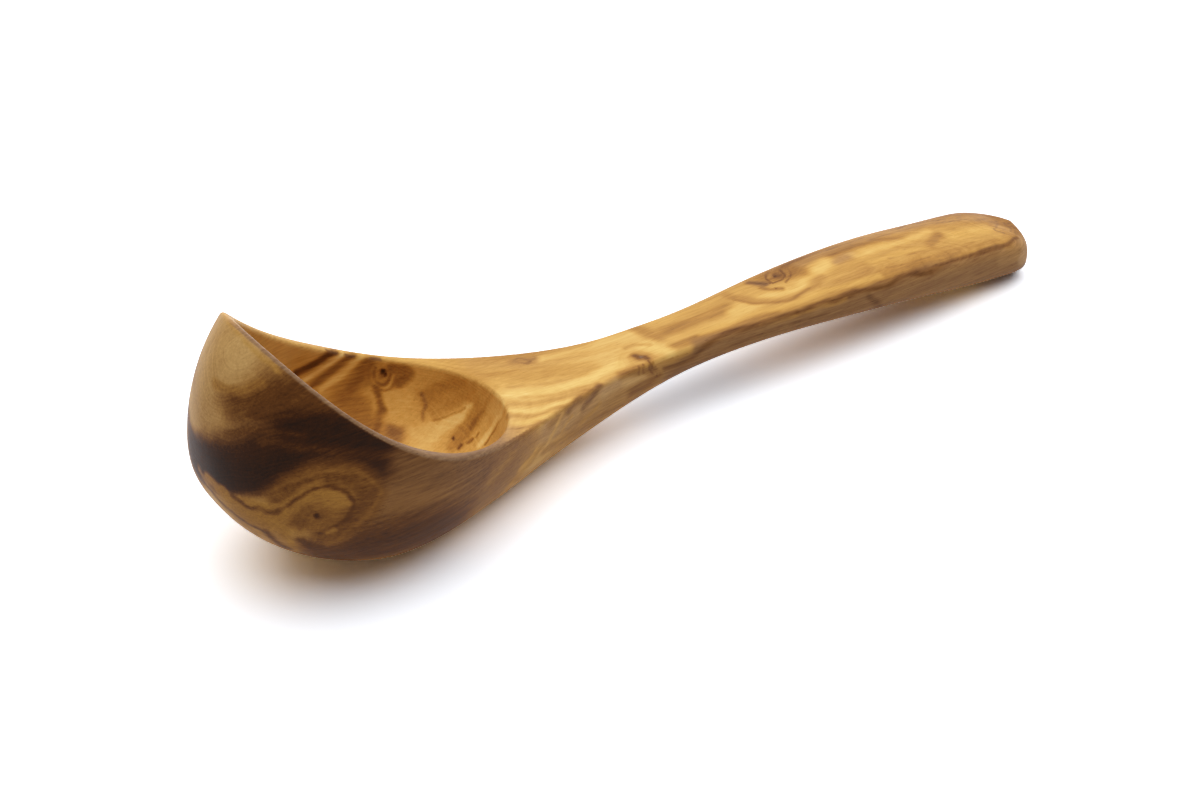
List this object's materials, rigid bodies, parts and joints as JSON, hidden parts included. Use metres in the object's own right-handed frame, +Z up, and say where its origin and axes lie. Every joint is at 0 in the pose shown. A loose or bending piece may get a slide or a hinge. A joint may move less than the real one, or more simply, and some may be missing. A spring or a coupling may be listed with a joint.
{
  "type": "soup ladle",
  "caption": "Soup ladle carved from one block of olive wood, with a deep egg-shaped bowl, a raised pouring lip and an arched handle",
  "frame": {"origin": "on the table plane, under the middle of the ladle's bounding box", "axes": "+X runs from the bowl to the end of the handle, +Z is up with the ladle lying as it is set down on a table, and +Y makes the frame right-handed"},
  "size_m": [0.301, 0.0724, 0.0825],
  "materials": {
    "olive_wood": "satin"
  },
  "bodies": {
    "root": {"ladle": "olive_wood"}
  },
  "joints": []
}
